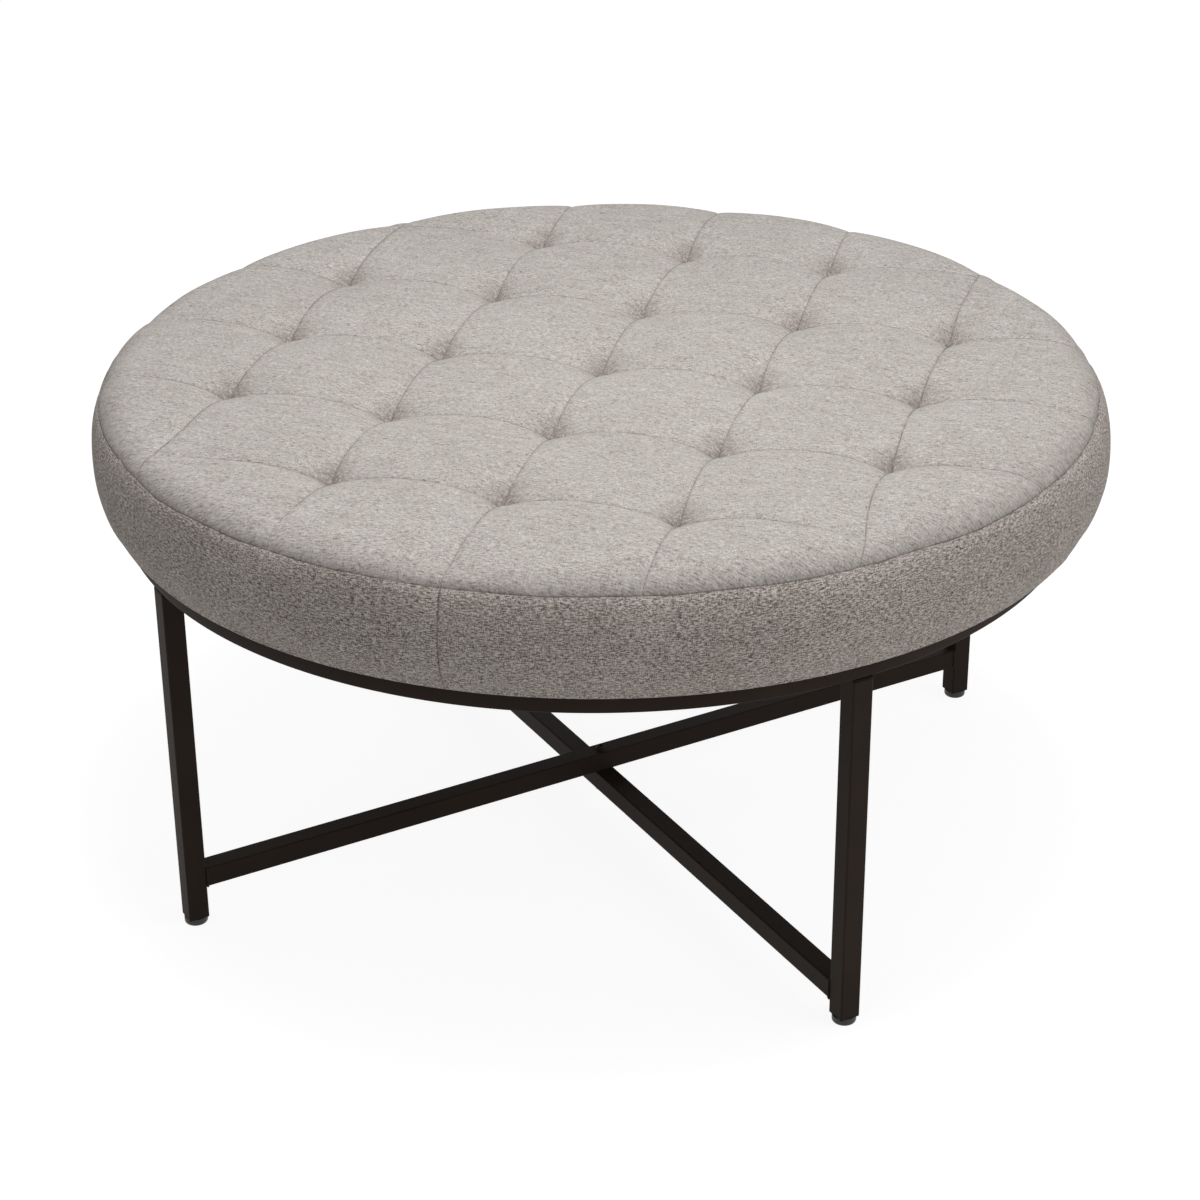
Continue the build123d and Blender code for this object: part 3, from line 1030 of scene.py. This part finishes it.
        tufted = np.where(crossing < 4, 1.0, self.bare_corner)
        height = height - self.corner_sink * (u * v) ** 2 * inner * tufted
        crease = np.exp(-fx / self.crease_reach) + np.exp(-fy / self.crease_reach)
        deeper = 1 + self.crease_gain * smooth(*self.crease_gain_radii, r)
        height = height - self.crease_sink * deeper * np.minimum(crease, 1.3) * (1 - 0.6 * run)
        lift = rng.uniform(-self.pillow_lift, self.pillow_lift, (8, 8))
        ci = np.clip(np.floor(x / self.spacing).astype(int) + 4, 0, 7)
        cj = np.clip(np.floor(y / self.spacing).astype(int) + 4, 0, 7)
        height = height + lift[ci, cj] * np.cos(np.pi / 2 * u) * np.cos(np.pi / 2 * v) * inner
        for px, py in self.tufts():
            d, a = np.hypot(x - px, y - py), np.arctan2(y - py, x - px)
            depth = self.pit_sink + rng.uniform(-0.8, 0.8)
            reach = self.pit_reach * rng.uniform(0.9, 1.12)
            phase = rng.uniform(0, 2 * np.pi, 3)
            folds = np.cos(7 * a + phase[0]) + 0.7 * np.cos(11 * a + phase[1])
            folds = folds + 0.5 * np.cos(4 * a + phase[2])
            height = height - depth * np.exp(-((d / reach) ** self.pit_power))
            height = height + self.pucker * folds * smooth(3, 10, d) * np.exp(-d / self.pucker_reach)
        waves = [(0.013, 0.021, 0.4), (-0.019, 0.011, 0.35), (0.031, -0.024, 0.2), (0.044, 0.037, 0.12)]
        for kx, ky, size in waves:
            height = height + size * inner * np.sin(kx * x + ky * y + rng.uniform(0, 6))
        return height

    def top_points(self) -> np.ndarray:
        """Places of the top's points in plan: a grid drawn together at the sewn lines, and rings at the edge.

        Returns:
            Rows of X and Y on the even grid.
        """
        half = np.array([0, 0.9, 2.2, 4.0, 6.4, 9.4, 13.0, 17.4, 22.8, 29.2, 36.6, 45.0, 54.4, 64.0])
        cell = np.concatenate([half, self.spacing - half[::-1]])
        steps = np.concatenate([cell[:-1] + k * self.spacing for k in range(-3, 3)])
        gx, gy = np.meshgrid(steps, steps, indexing="ij")
        edge = self.seam_radius - np.array([5.0, 3.2, 1.8, 0.8, 0.0])
        rings = np.concatenate([np.linspace(394, self.seam_radius - 8, 15), edge])
        inner = np.hypot(gx, gy) < rings[0] - 1.5
        turns = circle(900)
        r, a = (grid.ravel() for grid in np.meshgrid(rings, turns, indexing="ij"))
        ring = np.stack([r * np.cos(a), r * np.sin(a)], 1)
        return np.concatenate([np.stack([gx[inner], gy[inner]], 1), ring])

    def build_top(self) -> None:
        """Makes the tufted top, closed underneath.

        Its plan is triangulated, let out to the seam's true radius near the
        rim, lifted to top_height, drawn aside by drift and curled in at the
        seam. A skirt closes it to a flat floor.
        """
        found = delaunay_2d_cdt(self.top_points().tolist(), [], [], 0, 1e-4)
        flat = np.array([tuple(v) for v in found[0]])
        faces = np.array(found[2])
        a, b, c = (flat[faces[:, k]] for k in range(3))
        area = (b - a)[:, 0] * (c - a)[:, 1] - (b - a)[:, 1] * (c - a)[:, 0]
        faces[area < 0] = faces[area < 0][:, ::-1]
        r, angle = np.hypot(flat[:, 0], flat[:, 1]), np.arctan2(flat[:, 1], flat[:, 0])
        seam_r, _ = self.seam_line(angle)
        let_out = smooth(self.seam_radius - self.let_out_width, self.seam_radius, r)
        grow = 1 + (seam_r / self.seam_radius - 1) * let_out
        x, y = flat[:, 0] * grow, flat[:, 1] * grow
        dx, dy = self.drift(x, y)
        curl = np.exp(-np.maximum(self.seam_radius - r, 0) / self.rim_curl)
        inward = 1 - curl / seam_r
        z = self.top_height(x, y) - self.rim_curl * curl
        points = np.stack([(x + dx) * inward, (y + dy) * inward, z], 1)
        rim = np.flatnonzero(r > self.seam_radius - 0.05)
        rim = rim[np.argsort(angle[rim])]
        below = points[rim] * (self.skirt_share, self.skirt_share, 0.0) + (0.0, 0.0, self.top_floor)
        lower = len(points) + np.arange(len(rim))
        skirt = np.stack([rim, lower, np.roll(lower, -1), np.roll(rim, -1)], 1)
        pitch = self.spacing * MM
        rim_circle = self.seam_radius * MM
        cloth = HeatherCloth("heather_cloth_tufted", pitch, pitch, line=0.38, rim=rim_circle)
        blocks = [faces, skirt, lower[::-1][None, :]]
        places = self.placed(np.concatenate([points, below]))
        made = make_piece("tufted_top", places, blocks, cloth.material(), np.concatenate([flat, flat[rim]]))
        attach(made, ROOT)
        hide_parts("top_panel")

    def side_profile(self) -> np.ndarray:
        """Side's outline from the seam down and in to the hem's edge.

        Above the bulge it is a power of the rise, below it a round arc, then a
        small quarter round and the level hem.

        Returns:
            Rows of radius and height.
        """
        upper = self.bulge_radius - self.seam_radius
        high = self.seam_level - self.bulge_level
        lower = self.bulge_radius - self.tuck_radius
        low = self.bulge_level - self.underside
        arc = (lower**2 + low**2) / (2 * lower)
        drops = np.array([0.0, 0.7, 1.6, 2.8, 4.4, 6.6, 9.4, 13.0])
        rest = np.linspace(self.seam_level - 17, self.underside + 4, 18)
        z = np.concatenate([self.seam_level - drops, rest])
        rise = z - self.bulge_level
        above = self.bulge_radius - upper * np.abs(rise / high) ** self.fullness
        below = self.bulge_radius - arc + np.sqrt(arc**2 - np.minimum(rise, 0) ** 2)
        r = np.where(rise > 0, above, below)
        a = np.linspace(0.1, 1, 5) * np.pi / 2
        hem = np.linspace(r[-1] - 7, self.hem_radius, 10)
        radii = np.concatenate([r, r[-1] - 4 * (1 - np.cos(a)), hem])
        heights = np.concatenate([z, z[-1] - 4 * np.sin(a), np.full(len(hem), self.underside + 0.02)])
        return np.stack([radii, heights], 1)

    def side_wall(self, start: float) -> tuple[np.ndarray, np.ndarray]:
        """Outer face of one side strip, its outline carried half-way round.

        It follows the edge seam, curls in at the seam and at its two upright
        ends, and has small puckers that fade away from both sewn edges and
        grow where it is pulled under. Each amount fades as an exponential of
        the distance from where it is greatest.

        Args:
            start: Angle in degrees at which it starts.

        Returns:
            Points of shape turns by profile by three, and their places on the
            cut cloth, one row each.
        """
        r, z = self.side_profile().T
        ends = np.array([0, 0.8, 1.8, 3.2, 5.0, 7.5, 11.0]) / self.bulge_radius
        gap = 16.0 / self.bulge_radius
        turns = np.concatenate([ends, np.linspace(gap, np.pi - gap, 380), np.pi - ends[::-1]])[:, None]
        angle = np.radians(start) + turns
        from_end = np.minimum(turns, np.pi - turns) * self.bulge_radius
        drop = self.seam_level - z
        rise = z - self.underside
        upright = rise > 3

        def fading(amount: tuple[float, float], distance: np.ndarray) -> np.ndarray:
            """An amount that fades over its reach."""
            return amount[0] * np.exp(-distance / amount[1])

        seam_r, seam_z = self.seam_line(angle)
        pucker = wander(angle, (61, 83, 97, 118), self.seed + 2) * fading(self.gather, drop)
        pucker = pucker + wander(angle, (23, 34, 47, 58), self.seed + 3) * fading(self.tuck, rise)
        arch = np.sin(np.pi * np.clip(rise / self.billow_height, 0, 1))
        billow = self.billow * wander(angle, (4, 6, 9, 13), self.seed + 4) * arch
        fade_out, fade_up = self.seam_fade
        radius = r + (seam_r - self.seam_radius) * np.exp(-drop / fade_out) - fading(self.curl_in, drop)
        radius = radius + (pucker + billow - fading(self.end_in, from_end)) * upright
        height = z + (seam_z - self.seam_level) * np.exp(-drop / fade_up) - fading(self.curl_down, drop)
        there = angle + self.slip(angle) * np.exp(-((drop / self.slip_fade) ** 2))
        wall = np.stack([radius * np.cos(there), radius * np.sin(there), height], -1)
        length = np.concatenate([[0], np.cumsum(np.hypot(np.diff(r), np.diff(z)))])
        cloth = np.stack(np.broadcast_arrays(turns * self.bulge_radius, -length), -1)
        return wall, cloth.reshape(-1, 2)

    def build_side(self, name: str, node: str, start: float) -> None:
        """Makes one side strip with its turned-in hem, as cloth with a thickness.

        Its pitches are its own length and more than its width, so its sewn
        lines are its two ends and the edge seam.

        Args:
            name: The piece's name.
            node: The CAD node that it stands for.
            start: Angle in degrees at which it starts.
        """
        wall, cloth = self.side_wall(start)
        points, blocks = shell(wall, self.cloth_thickness)
        strip = HeatherCloth(
            "heather_cloth_" + name,
            pitch_x=np.pi * self.bulge_radius * MM,
            pitch_y=1.0,
            light=srgb(232, 224, 217),
            middle=srgb(182, 173, 165),
            dark=srgb(110, 98, 90),
            yarn=0.75 * MM,
            contrast=1.85,
            line=0.55,
            # strong painted shade along the edge seam, darkening the strip's curled upper edge
            seam_shade=0.42,
        )
        both = np.concatenate([cloth, cloth])
        made = make_piece(name, self.placed(points), blocks, strip.material(), both, 60)
        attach(made, ROOT)
        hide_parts(node)

    def build_filling(self) -> None:
        """Makes the foam slab and the fibre round its side, both closed lathe forms."""
        turns = circle(240)
        foam = np.array([(0.5, 436), (424, 436), (428, 433), (430, 428), (430, 368), (429, 367), (0.5, 367)])
        faces = grid_faces(len(turns), len(foam), wrap_rows=True)[:, ::-1]
        top = np.arange(len(turns))[None, :] * len(foam)
        blocks = [faces, top, top[:, ::-1] + len(foam) - 1]
        slab = self.placed(lathe(foam, turns))
        made = make_piece("foam_slab", slab, blocks, OpenFoam().material(), None, 40)
        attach(made, ROOT)
        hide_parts("foam_core")
        outer = [(434, 357), (442, 368), (447, 388), (446, 405), (440, 420), (433, 430)]
        fibre = np.array([(430.4, 357), *outer, (430.4, 430)])
        faces = grid_faces(len(turns), len(fibre), wrap_rows=True, wrap_columns=True)
        band = self.placed(lathe(fibre, turns))
        made = make_piece("fibre_band", band, [faces], LooseFibre().material(), None, 50)
        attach(made, ROOT)
        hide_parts("side_fibre")

    def build(self) -> None:
        """Makes the whole cushion."""
        self.underneath.build_staples()
        self.build_top()
        self.build_side("side_right", "boxing_right", -90.0)
        self.build_side("side_left", "boxing_left", 90.0)
        self.build_filling()
        self.underneath.build_cover()


# Base


@dataclass
class Base:
    """Square-tube frame: ring, legs, stretchers and glides."""

    outer_radius: float = 428.0
    tube: float = 19.0
    wall: float = 1.2
    corner: float = 1.6
    inner_corner: float = 0.4
    ring_floor: float = 335.0
    glide_radius: float = 10.5
    glide_height: float = 7.0
    glide_sole: float = 2.4  # radius of the pad's lower edge
    glide_brow: float = 0.6  # radius of its upper edge
    bead: float = 1.25
    bead_corner: float = 2.0
    bead_inset: float = 0.8
    stretcher_floors: tuple[float, float] = (19.0, 38.0)

    def build_ring(self, coat: bpy.types.Material) -> None:
        """Makes the ring: a square tube with rounded corners, hollow, carried round the axis.

        Args:
            coat: Its finish.
        """
        turns = circle(360)
        half = self.tube / 2
        middle = (self.outer_radius - half, self.ring_floor + half)
        outside = rounded_section(half, self.corner) + middle
        inside = rounded_section(half - self.wall, self.inner_corner, 3) + middle
        out_points = lathe(outside, turns)
        out_faces = grid_faces(len(turns), len(outside), True, True)[:, ::-1]
        in_faces = grid_faces(len(turns), len(inside), True, True) + len(out_points)
        points = np.concatenate([out_points, lathe(inside, turns)])
        made = make_piece("rolled_ring", points, [out_faces, in_faces], coat, None, 35)
        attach(made, ROOT)
        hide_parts("seat_ring")

    def build_glide(self, corner: str, angle: float, nylon: bpy.types.Material) -> None:
        """Makes one glide pad: a low round pad, well rounded below and eased above.

        Args:
            corner: Which leg it stands under.
            angle: The leg's angle in degrees.
            nylon: Its finish.
        """
        a = np.radians(angle)
        middle = (self.outer_radius - self.tube / 2) * np.array([np.cos(a), np.sin(a)])
        low = np.linspace(-np.pi / 2, 0, 7)
        high = np.linspace(0, np.pi / 2, 4)
        sole, brow, top = self.glide_sole, self.glide_brow, self.glide_height
        sole_r = self.glide_radius - sole + sole * np.cos(low)
        brow_r = self.glide_radius - brow + brow * np.cos(high)
        r = np.concatenate([[0.2, 3.0], sole_r, brow_r, [0.2]])
        z = np.concatenate([[0.3, 0.0], sole + sole * np.sin(low), top - brow + brow * np.sin(high), [top]])
        turns = circle(64)
        first = np.arange(len(turns))[None, :] * len(r)
        blocks = [grid_faces(len(turns), len(r), wrap_rows=True), first[:, ::-1], first + len(r) - 1]
        points = lathe(np.stack([r, z], 1), turns, middle)
        made = make_piece("glide_" + corner, points, blocks, nylon, None, 40)
        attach(made, "glide_" + corner)
        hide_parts("glide_pad_" + corner)

    def build_welds(self, coat: bpy.types.Material) -> None:
        """Makes the weld beads round the stretchers' ends, on the inner faces of the legs.

        Each bead is a thin tube on a square path with round corners, its
        radius rippled along the path as the weld was laid.

        Args:
            coat: Their finish.
        """
        half = self.tube / 2
        rounds = rounded_section(half + 0.1, self.bead_corner, 5).reshape(4, 5, 2)
        blocks = []
        for this, following in zip(rounds, np.roll(rounds, -1, axis=0)):
            blocks += [this[:-1], np.linspace(this[-1], following[0], 14, endpoint=False)]
        path = np.concatenate(blocks)
        length = np.arange(len(path))
        a = circle(8)
        outward = path / np.linalg.norm(path, axis=1, keepdims=True)
        faces = grid_faces(len(path), len(a), True, True)[:, ::-1]
        for number, (corner, angle) in enumerate(CORNERS.items()):
            floor = self.stretcher_floors[0 if corner in ("front_right", "back_left") else 1]
            ripple = self.bead + 0.22 * np.sin(length * 1.9 + number)
            ripple = ripple + 0.12 * np.sin(length * 0.7 + 2 * number)
            flat = path[:, None, :] + outward[:, None, :] * (ripple[:, None] * np.cos(a))[..., None]
            inward = self.outer_radius - self.tube - self.bead_inset + ripple[:, None] * np.sin(a) * 0.9
            t = np.radians(angle)
            x = inward * np.cos(t) - flat[..., 0] * np.sin(t)
            y = inward * np.sin(t) + flat[..., 0] * np.cos(t)
            z = np.maximum(flat[..., 1] + floor + half, floor - 1.2)
            points = np.stack([x, y, z], -1).reshape(-1, 3)
            made = make_piece("weld_bead_" + corner, points, [faces], coat)
            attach(made, ROOT)

    def dress(self, coat: bpy.types.Material) -> None:
        """Gives the carried CAD nodes their finishes.

        Args:
            coat: The powder coat.
        """
        # the legs carry a painted shadow line just under the ring
        leg = PowderCoat("bronze_powder_coat_leg", gap_shadow_level=self.ring_floor * MM).material()
        by_slot = {
            "frame_paint": coat,
            "zinc_steel": ZincPlate().material(),
            "insert_plastic": MouldedNylon("black_nylon_plug", srgb(34, 34, 35)).material(),
            "toggle_plastic": MouldedNylon("white_nylon", srgb(226, 226, 222)).material(),
            "plywood": Plywood().material(),
            "twine": WaxedTwine().material(),
        }
        for part in FRAME["record"]["subparts"]:
            finish = leg if part["node"] in LEGS else by_slot.get(part["material_slot"])
            if finish is not None:
                mesh = FRAME["nodes"][part["node"]].data
                mesh.materials.clear()
                mesh.materials.append(finish)
        LOG.info("CAD nodes dressed")

    def build(self) -> None:
        """Makes the whole base."""
        coat = PowderCoat().material()
        nylon = MouldedNylon("black_nylon_glide", srgb(26, 26, 27), 0.42).material()
        self.dress(coat)
        self.build_ring(coat)
        self.build_welds(coat)
        for corner, angle in CORNERS.items():
            self.build_glide(corner, angle, nylon)


# Studio


class Lamp(Enum):
    """A soft square lamp: its place and side in metres and its power in watts."""

    KEY = ((0.10, -0.12, 1.95), 0.9, 20.5)
    FILL = ((3.2, -0.4, 1.2), 2.0, 16.5)


@dataclass
class Studio:
    """Plain white room: floor, soft lamps and the camera at the picture's view."""

    unit: float = 428.0  # the ring's radius, in which the camera's place was fitted
    distance: float = 5.44614
    rise: float = 3.14677
    floor_drop: float = 57.0
    yaw: float = 0.00024
    pitch: float = 0.47123
    roll: float = -0.00787
    round_by: float = 15.70  # degrees from the picture's frame to the model's
    focal: float = 2811.69  # in pixels of a picture of the width below
    picture_width: float = 1200.0
    sensor: float = 36.0
    lamp_target: tuple[float, float, float] = (0.0, 0.0, 0.35)
    room_light: float = 0.262
    floor_reach: float = 9000.0
    floor_colour: Colour = (0.8, 0.8, 0.8)
    floor_share: float = 0.6
    floor_glow: float = 1.5

    def camera(self) -> None:
        """Makes the camera from the fitted place, turn and lens."""
        sy, cy, sp, cp = np.sin(self.yaw), np.cos(self.yaw), np.sin(self.pitch), np.cos(self.pitch)
        ahead = np.array([sy * cp, cy * cp, -sp])
        right = np.array([cy, -sy, 0.0])
        up = np.cross(right, ahead)
        c, s = np.cos(self.roll), np.sin(self.roll)
        right, up = c * right + s * up, c * up - s * right
        a = np.radians(self.round_by)
        turn = np.array([[np.cos(a), -np.sin(a), 0], [np.sin(a), np.cos(a), 0], [0, 0, 1]])
        stand = np.array([0.0, -self.distance * self.unit, self.rise * self.unit + self.floor_drop])
        columns = np.stack([turn @ right, turn @ up, turn @ -ahead, turn @ stand * MM], 1)
        data = bpy.data.cameras.new("camera")
        data.sensor_width = self.sensor
        data.lens = self.focal / self.picture_width * self.sensor
        data.clip_end = 100.0
        made = bpy.data.objects.new("camera", data)
        made.matrix_world = Matrix([*columns.tolist(), [0.0, 0.0, 0.0, 1.0]])
        bpy.context.scene.collection.objects.link(made)
        bpy.context.scene.camera = made

    def hang(self, lamp: Lamp) -> None:
        """Hangs one lamp so that it faces the cushion.

        Args:
            lamp: Which lamp.
        """
        place, side, power = lamp.value
        name = lamp.name.lower()
        data = bpy.data.lights.new(name, "AREA")
        data.shape = "SQUARE"
        data.size = side
        data.energy = power
        made = bpy.data.objects.new(name, data)
        made.location = place
        made.visible_camera = False
        made.rotation_mode = "QUATERNION"
        made.rotation_quaternion = (Vector(place) - Vector(self.lamp_target)).to_track_quat("Z", "Y")
        bpy.context.scene.collection.objects.link(made)

    def seen(self, tree: Tree) -> Signal:
        """Tells the rays that see the white room from those that only light the object.

        Args:
            tree: The tree that it is worked out in.

        Returns:
            1 on rays from the camera and on those that gloss or glass sends
            on, 0 on the rest.
        """
        path = tree.node("ShaderNodeLightPath", {}, {})
        names = ("Is Camera Ray", "Is Glossy Ray", "Is Transmission Ray")
        camera, gloss, glass = (Signal(tree, path.outputs[name]) for name in names)
        return tree.math("MAXIMUM", camera, tree.math("MAXIMUM", gloss, glass))

    def white_room(self) -> None:
        """Makes the world and the floor.

        The world is white where it is seen and gives a plain light elsewhere.
        Where the floor is seen, a glow of floor_share times floor_glow, nine
        tenths of white, is added to what is left of its own lit colour, so it
        is white in full light and keeps the shadow.
        """
        world = bpy.data.worlds.new("room")
        bpy.context.scene.world = world
        world.use_nodes = True
        room = Tree(world.node_tree)
        lit = room.node("ShaderNodeBackground", {}, {"Color": WHITE, "Strength": self.room_light})
        white = room.node("ShaderNodeBackground", {}, {"Color": WHITE, "Strength": 1.0})
        room.blend(self.seen(room), lit, white, "World Output")
        paint = Shader("white_floor", 0.9, Specular_IOR_Level=0.0)
        paint.surface.inputs["Base Color"].default_value = (*self.floor_colour, 1.0)
        glow = paint.node("ShaderNodeEmission", {}, {"Color": WHITE, "Strength": self.floor_glow})
        paint.blend(self.seen(paint) * self.floor_share, paint.surface, glow, "Material Output")
        far = self.floor_reach
        corners = np.array([(-far, -far, 0), (far, -far, 0), (far, far, 0), (-far, far, 0)])
        floor = make_piece("floor", corners, [np.array([[0, 1, 2, 3]])], paint.material)

    def build(self) -> None:
        """Makes the room, lamps and camera."""
        bpy.context.scene.view_settings.view_transform = "Standard"
        self.white_room()
        for lamp in Lamp:
            self.hang(lamp)
        self.camera()


def main() -> None:
    logging.basicConfig(level=logging.INFO)
    for name in ("Cube", "Light", "Camera"):
        if name in bpy.data.objects:
            bpy.data.objects.remove(bpy.data.objects[name])
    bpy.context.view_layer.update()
    Cushion().build()
    Base().build()
    Studio().build()


if __name__ == "__main__":
    main()
